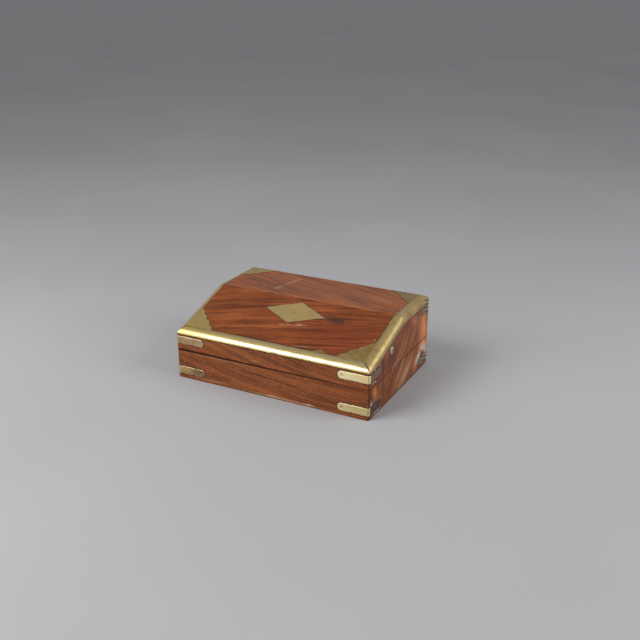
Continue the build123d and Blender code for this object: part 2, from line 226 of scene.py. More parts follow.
class Wire:
    # One socket in a material. Sums and products of wires add Math nodes, and node adds any other node.
    def __init__(self, tree, socket=None):
        self.tree = tree
        self.socket = socket

    def node(self, kind, settings=None, sockets=None, output=0):
        made = self.tree.nodes.new("ShaderNode" + kind)
        for name, value in (settings or {}).items():
            setattr(made, name, value)
        for name, value in (sockets or {}).items():
            if isinstance(value, Wire):
                self.tree.links.new(value.socket, made.inputs[name])
            else:
                made.inputs[name].default_value = value
        return Wire(self.tree, made.outputs[output])

    def math(self, operation, *values):
        return self.node("Math", {"operation": operation}, dict(enumerate(values)))

    def __add__(self, other):
        return self.math("ADD", self, other)

    def __sub__(self, other):
        return self.math("SUBTRACT", self, other)

    def __rsub__(self, other):
        return self.math("SUBTRACT", other, self)

    def __mul__(self, other):
        return self.math("MULTIPLY", self, other)

    def __neg__(self):
        return self.math("MULTIPLY", self, -1.0)

    def __abs__(self):
        return self.math("ABSOLUTE", self)

    __radd__ = __add__
    __rmul__ = __mul__


# Directions along which part gives a place in millimetres
toRight, toBack, toTop = (1000, 0, 0), (0, 1000, 0), (0, 0, 1000)


def step(value, low, high):
    # Smooth rise from 0 at low to 1 at high, or a fall where low is above high
    sockets = {"Value": value, "From Min": low, "From Max": high}
    return value.node("MapRange", {"interpolation_type": "SMOOTHSTEP"}, sockets)


def tint(factor, under, over):
    # The colour over laid on the colour under by the factor. A Mix node has its colours at 6 and 7.
    under, over = (colour if isinstance(colour, Wire) else (*colour, 1) for colour in (under, over))
    return factor.node("Mix", {"data_type": "RGBA"}, {0: factor, 6: under, 7: over}, 2)


def part(place, direction):
    # How far the place lies along a direction
    return place.node("VectorMath", {"operation": "DOT_PRODUCT"}, {0: place, 1: tuple(direction)}, 1)


def triple(x, y, z):
    return x.node("CombineXYZ", {}, {0: x, 1: y, 2: z})


def scaled(place, factors):
    return place.node("VectorMath", {"operation": "MULTIPLY"}, {0: place, 1: factors})


def noise(vector, scale=1.0, detail=2.0, roughness=0.5):
    return vector.node("TexNoise", {}, {"Vector": vector, "Scale": scale, "Detail": detail, "Roughness": roughness})


def swing(wire, size):
    # A noise turned into a swing about zero, up to half the size each way
    return (wire - 0.5) * size


def newMaterial(name):
    # An empty material, and a wire that carries the place on the object in metres
    material = bpy.data.materials.new(name)
    material.use_nodes = True
    return material, Wire(material.node_tree).node("TexCoord", output="Object")


def finish(material, place, bumps=(), **looks):
    # Sets the shader's sockets: wires are linked, numbers and colours are set on the socket itself.
    # Each bump is (height wire, how deep 1 is in metres).
    shader = material.node_tree.nodes["Principled BSDF"]
    normal = None
    for height, depth in bumps:
        sockets = {"Height": height, "Distance": depth, "Strength": 1.0}
        if normal is not None:
            sockets["Normal"] = normal
        normal = place.node("Bump", {}, sockets)
    if normal is not None:
        looks["Normal"] = normal
    for name, value in looks.items():
        socket = shader.inputs[name.replace("_", " ")]
        if isinstance(value, Wire):
            material.node_tree.links.new(value.socket, socket)
        else:
            socket.default_value = (*value, 1) if isinstance(value, tuple) else value
    return material


# Wax and dirt in the joints, widths in millimetres
seams = {
    "colour": (0.026, 0.012, 0.007),
    "pale": (0.075, 0.042, 0.024),
    "end": (0.05, 0.024, 0.014),  # browner where it lies on an end
    "endFace": (149.6, 150.1),
    "roughness": 0.55,
    "inlayWidth": 1.15,  # round the lozenge and the corner plates
    "borderWidth": 1.1,  # along the edging
    "strapWidth": 1.3,  # round the straps
    "hairWidth": 0.3,  # where brass meets brass
    "mitreWidth": 1.3,  # the edging's open mitres at the front corners
    "height": 0.24,
    "step": 0.9,
    "endWalk": (-148.0, 206.0),  # the edging's lower border, from the middle of the front to the back of an end
}


def waxMaterial(name, cover):
    # Colour = dark wax with paler crumbs. Alpha = cover where a noise along the seam is high, thinner at its sides.
    material, place = newMaterial(name)
    uv = place.node("TexCoord", output="UV")
    side = abs(part(uv, (0, 1, 0)))
    grains = noise(place, 900.0, 3.0, 0.6)
    patches = noise(place, 75.0, 2.0, 0.5)
    crumbs = step(grains, 0.56, 0.7) * step(patches, 0.45, 0.65)
    there = step(patches + cover - side * 0.2, 0.4, 0.6)
    onEnd = step(abs(part(place, toRight)), *seams["endFace"])
    colour = tint(crumbs, tint(onEnd, seams["colour"], seams["end"]), seams["pale"])
    return finish(material, place, [(grains, 0.0001)], Base_Color=colour, Roughness=seams["roughness"], Alpha=there)


darkWax = waxMaterial("darkWax", 0.38)
thinWax = waxMaterial("thinWax", 0.36)


def seamTube(path, width, closed=False, height=seams["height"]):
    return carryOval(path, seams[width], height, closed)


def topSeam(corners, width, closed=False):
    # A seam on the top, through corners given as (x, run)
    return seamTube(onTop(*stations(corners, seams["step"], closed)), width, closed)


# Lozenge and corner plates. The plates' long sides go up in steps.
lozenge = {"x": -2.0, "run": 84.0, "length": 94.0, "height": 48.0}
plates = {"frontLeg": 40.5, "rearLeg": 45.0, "steps": 4, "rise": 0.75, "across": 0.4}


def stair(leg):
    # Corners of a plate's stepped side, from one leg to the other
    pitch = leg / plates["steps"]
    corners = [(leg, 0.0)]
    for index in range(plates["steps"]):
        x, up = leg - index * pitch, index * pitch
        corners += [(x - plates["across"] * pitch, up + plates["rise"] * pitch), (x - pitch, up + pitch)]
    return corners


x, run = lozenge["x"], lozenge["run"]
halfLength, halfHeight = lozenge["length"] / 2, lozenge["height"] / 2
corners = [(x - halfLength, run), (x, run - halfHeight), (x + halfLength, run), (x, run + halfHeight)]
tubes = [topSeam(corners, "inlayWidth", True)]
for side in (-1, 1):
    border = box["innerBorder"][side]
    corners = [(border - side * x, box["frontFlange"] + up) for x, up in stair(plates["frontLeg"])]
    tubes.append(topSeam(corners, "inlayWidth"))
    corners = [(border - side * x, halfDepth - back) for x, back in stair(plates["rearLeg"])]
    x, y = stations(corners, seams["step"])
    inside = y < halfDepth - 0.1
    tubes.append(seamTube(onTop(x[inside], runAtDepth(y[inside])), "inlayWidth"))
joinOvals("inlay_wax", tubes, "lid", darkWax)

# Borders of the edging: along the front, then along each side over the bend
tubes, hairs = [], []
left, right = box["innerBorder"][-1], box["innerBorder"][1]
leg, front, rear = plates["frontLeg"], box["frontFlange"], runAtDepth(halfDepth - plates["rearLeg"])
rearEnd = slopeLength + flatLength + 12.0  # most of the way round the rear edge
tubes.append(topSeam([(left + leg, front), (right - leg, front)], "borderWidth"))
for x, side in ((left, -1), (right, 1)):
    tubes.append(topSeam([(x, front + leg), (x, rear)], "borderWidth"))
    hairs.append(topSeam([(x - side * leg, front), (x, front), (x, front + leg)], "hairWidth"))
    hairs.append(topSeam([(x, rear), (x, rearEnd)], "hairWidth"))


def edgingBorder(y):
    # Height of the edging's lower border on an end: level at the front, up along the slope, level on the flat
    slope = frontTop + (y + halfDepth) * np.tan(tilt) - box["sideDrop"] / cos(tilt)
    return np.clip(slope, frontTop - box["frontDrop"], rearTop - box["sideDrop"])


walk = np.arange(*seams["endWalk"], seams["step"])
border = edgingBorder(np.maximum(walk, 0) - halfDepth)
tubes += [seamTube(roundCorner(sideX, -1, walk, border), "borderWidth") for sideX in (-1, 1)]
joinOvals("edging_wax", tubes, "lid", darkWax)

# A small three-cornered chip of brass against the front edging: its outline, then rings drawn in and up from it
spur = {
    "corners": [(60.5, 13.6), (82.0, 13.6), (70.5, 21.8)],
    "height": 0.18,
    "step": 0.8,
    "inset": (1.0, 1.0, 0.94, 0.0),
    "rise": (-0.15, 0.6, 1.0, 1.0),
}


def spurRings():
    # Ring = middle + inset * (outline - middle), raised by its share of the height along the normal
    x, run = stations(spur["corners"], spur["step"], True)
    inset = np.array(spur["inset"])[:, None]
    up = np.array(spur["rise"])[:, None] * spur["height"]
    points, normals = onTop(x.mean() + inset * (x - x.mean()), run.mean() + inset * (run - run.mean()))
    return (points + up[..., None] * normals).reshape(-1, 3), gridFaces(len(inset), len(x), False, True)


# Straps: lower borders above the table, lengths of the arms, and the pins' places to the side and backwards
straps = {
    "width": 11.7,
    "bottoms": {"base_front": 6.3, "base_rear": 6.3, "lid_front": 52.7, "lid_rear": 82.4},
    "endArms": {"base_front": 38.0, "base_rear": 38.0, "lid_front": 38.0, "lid_rear": 29.0},
    "arm": 46.0,
    "armPin": (110.5, 105.2),
    "endPins": {"base_front": (150.2, 73.5), "base_rear": (150.2, 73.5), "lid_front": (150.2, 73.5),
                "lid_rear": (150.2, 82.5)},
    "roundSteps": 16,
}
tubes = {"base": [], "lid": []}
radius = straps["width"] / 2
shift = box["uprightRadius"] * (1 - pi / 4)  # the walk is this much shorter than the flat lengths on each side
turn = np.linspace(pi / 2, 3 * pi / 2, straps["roundSteps"])
for kind, bottom in straps["bottoms"].items():
    # The outline of both arms with their round ends
    body, end = kind.split("_")
    first, last = -(straps["arm"] - radius - shift), straps["endArms"][kind] - radius - shift
    level = np.arange(first, last, seams["step"])
    walk = np.concatenate([first + radius * np.cos(turn), level, last - radius * np.cos(turn), level[::-1]])
    z = np.concatenate([radius * np.sin(turn), 0 * level - radius, -radius * np.sin(turn), 0 * level + radius])
    for sideX in (-1, 1):
        path = roundCorner(sideX, -1 if end == "front" else 1, walk, bottom + radius + z)
        tubes[body].append(seamTube(path, "strapWidth", True))
joinOvals("base_strap_wax", tubes["base"], "base", darkWax)
joinOvals("lid_strap_wax", tubes["lid"], "lid", darkWax)

# Mitres of the edging at the front corners and at the bend, found by a fan of lines from a centre under the brass:
# how far inward the centre is (at a corner, a share of the flange) and how far under, first and last turn in
# degrees, the seam's width and height
mitres = {
    "corner": {"inward": 0.6, "under": 5, "turns": (32, 214), "width": "mitreWidth", "height": 0.12},
    "bend": {"inward": 9, "under": 7, "turns": (56, 200), "width": "hairWidth", "height": 0.08},
    "lines": 30,
    "reach": 0.1,  # in metres
}


def brassTree(names):
    points, triangles = [], []
    for name in names:
        mesh = nodes[name].data
        mesh.calc_loop_triangles()
        triangles += [[len(points) + index for index in triangle.vertices] for triangle in mesh.loop_triangles]
        points += [vertex.co.copy() for vertex in mesh.vertices]
    return BVHTree.FromPolygons(points, triangles)


def mitreSeam(names, look, centre, inward, upward):
    # Where the fan of lines meets the brass: direction = cosine * inward + sine * upward
    tree = brassTree(names)
    inward, upward = np.array(inward, float), np.array(upward, float)
    spots, facings = [], []
    for turn in np.radians(np.linspace(*look["turns"], mitres["lines"])):
        direction = Vector(cos(turn) * inward / np.linalg.norm(inward) + sin(turn) * upward)
        hit, facing = tree.ray_cast(Vector(centre) * 0.001 + direction * mitres["reach"], -direction)[:2]
        if hit is not None:
            spots.append(np.array(hit) * 1000)
            facings.append(np.array(facing))
    return seamTube((np.array(spots), np.array(facings)), look["width"], False, look["height"])


slopeNormal = np.array([0, -sin(tilt), cos(tilt)])
bendNormal = np.array([0, -sin(tilt / 2), cos(tilt / 2)])
for side, word in ((-1, "left"), (1, "right")):
    look = mitres["corner"]
    flange = halfWidth - abs(box["innerBorder"][side])
    inward = np.array([-side * flange, box["frontFlange"] * cos(tilt), box["frontFlange"] * sin(tilt)])
    centre = np.array([side * halfWidth, -halfDepth, frontTop]) + inward * look["inward"] - slopeNormal * look["under"]
    hairs.append(mitreSeam(["edging_front", f"edging_{word}_slope"], look, centre, inward, slopeNormal))
    look = mitres["bend"]
    centre = np.array([side * (halfWidth - look["inward"]), bend, rearTop]) - bendNormal * look["under"]
    edgings = [f"edging_{word}_slope", f"edging_{word}_flat"]
    hairs.append(mitreSeam(edgings, look, centre, (-side, 0, 0), bendNormal))
joinOvals("mitre_wax", hairs, "lid", thinWax)
print("wax seams laid")

# Dark marks in the screws' slots, painted shade of each groove with dirt in it: the hinges' screws on each body, and
# the one screw on the right end
slots = {
    "length": 2.9, "width": 0.55, "depth": 0.06, "taper": 0.25, "stations": 9,
    "colour": (0.012, 0.01, 0.008), "dust": (0.05, 0.04, 0.03), "roughness": 0.7,
    "across": (-97.0, -73.0, 73.0, 97.0), "back": 101.25,
    "bodies": {"base": {"up": 43.25, "facing": 1, "turn": 0.5}, "lid": {"up": 43.75, "facing": -1, "turn": 0.9}},
    "turnEach": 1.1,
    "side": {"at": (150.8, -32.55, 72.48), "turn": 0.9, "length": 4.0},
}
slotMaterial, place = newMaterial("slotDirt")
finish(slotMaterial, place, [(noise(place, 1500.0, 2.0), 0.0001)], Roughness=slots["roughness"],
       Base_Color=tint(noise(place, 700.0), slots["colour"], slots["dust"]))


def slotAt(centre, direction, normal, length):
    share = np.linspace(-0.5, 0.5, slots["stations"])[:, None]
    points = np.array(centre) + share * length * np.array(direction)
    path = points, np.broadcast_to(np.array(normal, float), points.shape)
    return carryOval(path, slots["width"], slots["depth"], False, slots["taper"])


for body, look in slots["bodies"].items():
    tubes = []
    for index, x in enumerate(slots["across"]):
        angle = look["turn"] + slots["turnEach"] * index
        centre, direction = (x, slots["back"], look["up"]), (cos(angle), sin(angle), 0)
        tubes.append(slotAt(centre, direction, (0, 0, look["facing"]), slots["length"]))
    joinOvals(f"{body}_screw_slots", tubes, body, slotMaterial)
look = slots["side"]
tube = slotAt(look["at"], (0, cos(look["turn"]), sin(look["turn"])), (1, 0, 0), look["length"])
joinOvals("side_screw_slot", [tube], "lid", slotMaterial)
print("screw slots marked")

# Directions of a face: along it, across it, out of it; and the place from which the marks' millimetres count
boardFaces = {
    "front": ((1, 0, 0), (0, 0, 1), (0, -1, 0), (0, -halfDepth, 0)),
    "back": ((1, 0, 0), (0, 0, 1), (0, 1, 0), (0, halfDepth, 0)),
    "left": ((0, 1, 0), (0, 0, 1), (-1, 0, 0), (-halfWidth, 0, 0)),
    "right": ((0, 1, 0), (0, 0, 1), (1, 0, 0), (halfWidth, 0, 0)),
    "slope": ((1, 0, 0), (0, cos(tilt), sin(tilt)), tuple(slopeNormal), (0, -halfDepth, frontTop)),
    "flat": ((1, 0, 0), (0, 1, 0), (0, 0, 1), (0, 0, rearTop)),
    "bottom": ((1, 0, 0), (0, 1, 0), (0, 0, -1), (0, 0, 0)),
}

# The hardwood that the whole box is made of: its colours, how rough and glossy it is, its dirt. The gap colour is
# painted shade in the parting line, the grime colour also paints contact shade at the foot, and the bare colour also
# paints a highlight on the base's upper edge
hardwood = {
    "dark": (0.07, 0.02, 0.008),
    "middle": (0.24, 0.059, 0.013),
    "light": (0.41, 0.127, 0.034),
    "pore": (0.035, 0.013, 0.008),
    "gap": (0.034, 0.009, 0.004),
    "grime": (0.03, 0.02, 0.016),
    "bare": (0.46, 0.27, 0.15),
    "pale": (0.62, 0.47, 0.36),
    "orange": (0.74, 0.26, 0.08),
    "red": (0.17, 0.026, 0.009),
    "grey": (0.12, 0.1, 0.09),
    "roughness": 0.33,
    "gloss": 0.16,
    "insideRoughness": 0.62,
    "drift": 0.008,  # how far the grain wanders, in metres
    "skin": (2.4, 1.2),  # the marks end this deep
    # The painted shade in the parting line: how fast it narrows on the front, and how strong it is on the front and
    # elsewhere
    "gapSlant": 4.5,  # how fast the front's parting line narrows to the right, in millimetres per metre
    "frontGap": 1.0,
    "otherGap": 0.35,
}

# The figure's noises: scales along and across the grain, detail, roughness. The last two aren't drawn out.
grain = {
    "drift": (7.0, 22.0, 2.0, 0.5),
    "bands": (5.0, 130.0, 3.0, 0.55),
    "streaks": (10.0, 560.0, 3.0, 0.6),
    "fibres": (60.0, 1400.0, 2.0, 0.6),
    "pores": (190.0, 3300.0, 1.0, 0.5),
    "threads": (8.0, 700.0, 2.0, 0.55),
    "blotches": (22.0, 3.0, 0.6),
    "ragged": (260.0, 4.0, 0.65),
}
# How torn a mark is by the ragged noise, by the streaks and by the threads, and where it begins to fade
tears = {
    "dark": (0.8, 0.8, 1.6, 0.2),
    "orange": (0.9, 0.9, 0.9, -0.2),
    "red": (0.6, 0.5, 0.9, -0.2),
    "other": (1.9, 0.9, 0.0, 0.2),
}

# Each board: its face, the grain's turn in degrees, how much it bends, a seed, how light it is, how deep its inner
# face lies in mm, the colour and strength of its mottling by wear, and its marks.
# A mark: colour, place along and across in mm, its two half lengths in mm, its turn in degrees, its strength.
boardDefaults = dict(bend=0.0, light=0.0, thick=8.8, worn=None)
boards = {
    "lid_slope_panel": dict(
        face="slope", turn=15, bend=0.25, seed=3.0, light=-0.035, thick=4.3, marks=[
        ("red", 80, 50, 90, 60, 0, 0.5), ("grime", 65, 83, 19, 8.5, -8, 0.6), ("grime", 60, 85, 27, 11, -5, 0.35),
        ("bare", 17, 60, 9, 3.2, 17, 0.55), ("bare", 2, 56, 8, 2.4, 10, 0.45), ("bare", -8, 54, 5, 2.2, -8, 0.4),
        ("bare", 27, 62, 4, 1.6, 20, 0.3), ("dark", 60, 40, 50, 1.3, 14, 0.6), ("dark", 98, 70, 36, 1.4, 12, 0.6),
        ("dark", 20, 32, 60, 1.3, 14, 0.5), ("dark", 84, 92, 44, 1.3, 12, 0.5), ("dark", -95, 92, 40, 1.3, 14, 0.45),
        ("dark", -60, 45, 44, 1.3, 15, 0.5), ("dark", -108, 73, 30, 2.4, 15, 0.55), ("dark", 90, 50, 22, 2.6, 13, 0.8),
        ("dark", -72, 27, 34, 3.5, 16, 0.7), ("dark", 44, 70, 8, 5, 25, 0.5), ("dark", 62, 27, 36, 3, 14, 0.5),
        ("dark", -60, 95, 45, 3, 13, 0.4), ("dark", 10, 47, 40, 2.4, 14, 0.45), ("light", -90, 50, 40, 8, 16, 0.35),
        # On the next line, the first pale mark, at the lozenge's right tip, is a painted highlight
        ("pale", 43.5, 83.5, 2.2, 1.6, 0, 0.8), ("pale", 112, 99, 1.6, 0.9, 20, 0.3),
        ("pale", 131, 60, 1.5, 1.5, 0, 0.35), ("grime", 20, 15.2, 120, 1.6, 0, 0.7), ("dark", 95, 104, 40, 3, 10, 0.5),
        ("light", 20, 100, 40, 6, 12, 0.3), ("bare", 46, 19.5, 17, 1.4, 8, 0.3)]),
    "lid_flat_panel": dict(
        face="flat", turn=-18, seed=11.0, light=0.11, thick=4.3, worn=("light", 0.25), marks=[
        ("dark", 0, 50, 46, 3.6, -14, 0.6), ("dark", 70, 31, 40, 4, -19, 0.5), ("dark", 118, 16, 24, 5, -6, 0.5),
        ("dark", -108, 42, 30, 4.5, -24, 0.35), ("dark", -52, 20, 16, 4, -10, 0.35), ("dark", 60, 93, 48, 4, -8, 0.35),
        ("bare", -54, 62, 30, 4, 75, 0.42), ("bare", -61, 31, 9, 5, 70, 0.5), ("dark", -60, 88, 60, 3, -14, 0.25),
        # On the next line, the wide faint grey mark over the whole flat is painted sheen
        ("grey", 20, 50, 150, 60, 0, 0.1), ("grime", 0, 4, 130, 5, 0, 0.25), ("orange", 0, 9, 130, 3, 0, 0.2)]),
    "lid_front_board": dict(
        face="front", turn=-12, bend=-0.4, seed=17.0, light=0.035, worn=("light", 0.42), marks=[
        ("dark", 48, 58, 28, 2.6, -15, 0.55), ("bare", -22, 50, 10, 2.4, 5, 0.3), ("dark", -60, 52, 40, 2.2, -8, 0.4),
        ("light", -90, 60, 14, 4, -10, 0.4), ("bare", 0, 56, 220, 24, 0, 0.07), ("grime", 0, 66.6, 150, 0.9, 0, 0.6)]),
    "base_front_board": dict(
        face="front", turn=-7, bend=-0.55, seed=23.0, light=0.035, worn=("light", 0.42), marks=[
        ("dark", -18, 30, 52, 1.5, -3, 0.85), ("dark", 40, 24.5, 34, 1.5, -9, 0.85),
        ("dark", 88, 16.5, 36, 1.4, -15, 0.8), ("dark", -70, 12.5, 13, 1.5, -17, 0.75),
        ("dark", -122, 32.5, 14, 1.8, -18, 0.7), ("bare", 8, 2.6, 70, 1.7, 0, 0.6), ("pale", 61, 2.8, 9, 1.4, 2, 0.7),
        ("bare", -88, 4.5, 30, 1.3, 1, 0.5), ("pale", 8, 3.2, 12, 1.2, -2, 0.6), ("light", -30, 8, 60, 4, 0, 0.3),
        # On the next line, the small dark mark at the right foot corner is painted contact shade, and the long pale
        # mark 40.9 mm up is a painted highlight along the base's upper edge
        ("bare", 0, 22, 220, 40, 0, 0.07), ("grime", 149, 3, 5, 3, 0, 0.6), ("bare", -82, 40.9, 76, 0.8, 0, 0.4)]),
    "lid_right_board": dict(
        face="right", turn=44, seed=31.0, light=0.04, worn=("bare", 0.22), marks=[
        ("dark", -32, 62, 26, 12, 30, 0.6), ("red", 12, 88, 30, 12, 10, 0.4), ("orange", 88, 62, 24, 42, 8, 1.0),
        ("orange", 52, 84, 18, 9, -25, 0.5), ("dark", 28, 62, 32, 4, 52, 0.6), ("dark", 34, 50, 24, 3, 48, 0.45),
        ("dark", -61, 56, 7, 26, 0, 0.75), ("grime", -86, 58, 20, 15, 0, 0.75), ("grey", -88, 62, 16, 8, -10, 0.5),
        ("pale", -86, 65, 7, 1.8, -30, 0.75), ("pale", -94, 52, 2, 6, 20, 0.7), ("pale", -87, 49.5, 5, 1.4, -30, 0.7),
        ("pale", -74, 68, 4, 1.3, 0, 0.6), ("pale", -99, 60, 1.4, 10, 0, 0.7), ("pale", -78, 58, 3, 1.6, -40, 0.6),
        ("bare", -19, 46.5, 17, 1.8, 12, 0.85), ("bare", 6, 56, 26, 2, 44, 0.4), ("light", 46, 66, 30, 10, 48, 0.5),
        ("grime", -32.5, 72.5, 8.5, 7.5, 0, 0.5), ("dark", 60, 84, 20, 3, 60, 0.5), ("orange", 0, 62, 30, 6, 46, 0.35),
        ("grime", 98, 74, 5, 20, 0, 0.4)]),
    "base_right_board": dict(
        face="right", turn=46, seed=37.0, light=0.05, worn=("bare", 0.32), marks=[
        ("orange", 88, 38, 24, 12, 0, 1.0), ("orange", 60, 16, 16, 14, 40, 0.7), ("grime", 86, 12, 26, 8, 0, 0.5),
        ("pale", 88, 31, 17, 7.5, -14, 1.0), ("pale", 69, 22, 13, 8, 38, 0.95), ("pale", 97, 21, 6, 12, 0, 0.8),
        ("orange", -87, 33, 9, 14, 10, 0.75), ("grime", -86, 9, 26, 10, 0, 0.8), ("grime", -100, 26, 4, 22, 0, 0.8),
        ("dark", -61, 32, 6, 20, 0, 0.7), ("bare", 18, 16, 38, 12, 30, 0.7), ("bare", 0, 30, 30, 6, 40, 0.5),
        ("bare", 34, 26, 20, 7, 45, 0.5), ("pale", 20, 19, 14, 2, 30, 0.5), ("pale", -98, 22, 3, 5, 0, 0.8),
        # On the next line, the long dark mark 1.2 mm up along the foot is painted contact shade
        ("pale", -80, 3.6, 16, 1.6, 0, 0.75), ("grime", 0, 1.2, 110, 2.0, 0, 0.6), ("light", 10, 24, 50, 12, 20, 0.4),
        ("bare", -22, 42.6, 15, 1.2, 0, 0.6), ("dark", -34, 20, 22, 5, 50, 0.6), ("dark", 40, 36, 16, 3, 45, 0.5)]),
    "lid_left_board": dict(
        face="left", turn=12, bend=0.3, seed=41.0, marks=[
        ("dark", 10, 70, 40, 3, 14, 0.5), ("bare", -60, 52, 14, 1.8, 20, 0.4), ("grime", -32, 70, 22, 5, 0, 0.25)]),
    "base_left_board": dict(
        face="left", turn=8, bend=-0.3, seed=43.0, marks=[
        ("dark", 20, 24, 50, 1.8, 9, 0.6), ("bare", -20, 2.5, 60, 1.5, 0, 0.5), ("pale", 86, 4, 8, 2, 20, 0.4)]),
    "lid_back_board": dict(
        face="back", turn=9, bend=0.3, seed=47.0, light=0.02, marks=[
        ("dark", -30, 78, 60, 2.4, 8, 0.6), ("dark", 70, 62, 44, 2, 11, 0.5), ("bare", 20, 90, 12, 1.5, 30, 0.4),
        ("grime", 85, 46, 30, 4, 0, 0.4), ("grime", -85, 46, 30, 4, 0, 0.4)]),
    "base_back_board": dict(
        face="back", turn=-6, bend=0.4, seed=53.0, marks=[
        ("dark", 10, 20, 70, 1.6, -5, 0.6), ("bare", -40, 3, 60, 1.5, 0, 0.5), ("grime", 85, 41, 30, 4, 0, 0.4),
        ("grime", -85, 41, 30, 4, 0, 0.4), ("pale", 110, 5, 10, 2, -20, 0.4)]),
    "base_bottom_board": dict(
        face="bottom", turn=3, bend=0.1, seed=59.0, light=0.1, thick=5.8, marks=[
        ("grime", -40, 20, 60, 30, 20, 0.25), ("grey", 80, -40, 40, 30, 0, 0.3)]),
}


def figure(kind, along, across, deep, seed):
    # A noise drawn out along the grain
    lengthways, sideways, detail, roughness = grain[kind]
    return noise(triple(along * lengthways + seed, across * sideways, deep * sideways), 1.0, detail, roughness)


def laid(colour, colours, layers):
    # Lays colours one on the other. Each layer is a factor, and a colour or a name from colours.
    for factor, over in layers:
        colour = tint(factor, colour, colours.get(over, over))
    return colour


def woodMaterial(name, board):
    # Colour = ramp of slow bands, streaks and fibres, all noises drawn out along the bent grain, with dark
    # lines where bands and streaks are both low, then dark and light threads, pores, wear and the marks.
    # Bent grain = across + bend * along squared + a slow drift.
    material, place = newMaterial(name)
    length, width, outward, origin = (np.array(axis, float) for axis in boardFaces[board["face"]])
    turn, seed = radians(board["turn"]), board["seed"]
    along = part(place, cos(turn) * length + sin(turn) * width)
    across = part(place, cos(turn) * width - sin(turn) * length)
    deep = part(place, outward)
    drift = swing(figure("drift", along, across, deep, seed), hardwood["drift"])
    across = across + along * along * board["bend"] + drift
    bands, streaks, fibres, pores = (
        figure(kind, along, across, deep, seed) for kind in ("bands", "streaks", "fibres", "pores"))
    threads = figure("threads", along, across, deep, -seed)
    blotches = noise(place, *grain["blotches"])
    ragged = noise(place, *grain["ragged"])

    tone = bands * 0.4 + streaks * 0.6 + fibres * 0.5 + blotches * 0.35 - 0.425 + board["light"]
    colour = tone.node("ValToRGB", {}, {0: tone})
    stops = colour.socket.node.color_ramp.elements
    stops.new(0.5)
    for stop, (position, shade) in zip(stops, ((0.22, "dark"), (0.5, "middle"), (0.82, "light"))):
        stop.position = position
        stop.color = (*hardwood[shade], 1)
    lines = step(bands * 0.35 + streaks * 0.65 + fibres * 0.2, 0.56, 0.46)
    holes = step(pores, 0.6, 0.7)
    layers = [
        (lines * 0.4, "dark"),
        (step(threads + swing(bands, 0.3), 0.5, 0.4) * 0.65, "dark"),
        (step(threads + swing(bands, 0.2), 0.58, 0.68) * 0.25, "light"),
        (holes * 0.5, "pore"),
    ]
    if board["worn"]:
        # Paler where the ragged noise is high, darker where it is low
        shade, strength = board["worn"]
        layers += [(step(ragged, 0.52, 0.7) * strength, shade), (step(ragged, 0.48, 0.32) * strength, "dark")]

    # The marks: each is an oval on the face with torn sides, and fades out under the skin
    u = part(place, length * 1000) - float(length @ origin)
    v = part(place, width * 1000) - float(width @ origin)
    onFace = triple(u, v, 0.0)
    depth = part(place, outward * -1000) + float(outward @ origin)
    skin = step(depth, *hardwood["skin"])
    dirty = lines * 0.0
    for kind, x, y, a, b, markTurn, strength in board["marks"]:
        local = onFace.node("Mapping", {"vector_type": "TEXTURE"}, {
            "Vector": onFace, "Location": (x, y, 0), "Rotation": (0, 0, radians(markTurn)), "Scale": (a, b, 1)})
        away = local.node("VectorMath", {"operation": "LENGTH"}, {0: local}, 1)
        byRagged, byStreaks, byThreads, fading = tears.get(kind, tears["other"])
        torn = away + swing(ragged, byRagged) + swing(streaks, byStreaks) + swing(threads, byThreads)
        there = step(torn, 1.2, fading) * skin * strength
        layers.append((there, kind))
        if kind in ("grime", "pale", "bare"):
            dirty = dirty + there
    rough = bands * 0.12 + pores * 0.08 + blotches * 0.14 + (hardwood["roughness"] - 0.17) + dirty * 0.2

    if board["face"] in ("front", "back", "left", "right"):
        # Dark joints at the mitred corners, painted shade in the parting line, darker along the bottom edge, and the
        # rims of base and lid, which are rubbed bare, and dirty here and there
        front = board["face"] == "front"
        x, y, z = (abs(part(place, axis)) for axis in (toRight, toBack, toTop))
        joint = step(abs(x - y - (halfWidth - halfDepth)) + swing(ragged, 0.8), 0.75, 0.3)
        slant = part(place, (hardwood["gapSlant"] if front else 0.0, 0, 0))
        partingShade = step(abs(z - box["parting"]) + swing(ragged, 0.8) + slant, 1.6, 0.7)
        partingShade = partingShade * hardwood["frontGap" if front else "otherGap"] * step(depth, 1.6, 0.8)
        foot = step(z + swing(ragged, 3.0), 1.6, 0.4)
        rim = step(abs(z - box["parting"]), 0.35, 0.3) * step(depth, 1.0, 1.8)
        dirt = step(blotches + swing(ragged, 0.5), 0.5, 0.66)
        layers += [(joint * 0.85, "pore"), (partingShade * 0.95, "gap"), (foot * 0.5, "grime"), (rim * 0.3, "bare"),
                   (rim * dirt * 0.6, "grime")]
        rough = rough + partingShade * 0.5 + rim * 0.2
    # Inside, the wood was never polished
    inside = step(depth, board["thick"] - 0.4, board["thick"])
    layers.append((inside * 0.35, "bare"))
    rough = rough + inside * (hardwood["insideRoughness"] - hardwood["roughness"])
    relief = fibres * 0.3 + streaks * 0.5 - holes * 0.5
    return finish(material, place, [(blotches, 0.0009), (relief, 0.00009)], Roughness=rough,
                  Base_Color=laid(colour, hardwood, layers), Specular_IOR_Level=hardwood["gloss"])


def paint(node, material):
    for slot in node.material_slots:
        slot.material = material


for name, board in boards.items():
    paint(nodes[name], woodMaterial("wood_" + name, boardDefaults | board))
print("boards finished:", len(boards))

# The brass's noises: scale, detail, roughness
brassNoises = {"cloud": (48.0, 4.0, 0.62), "mottle": (330.0, 4.0, 0.65), "grit": (1150.0, 3.0, 0.6)}
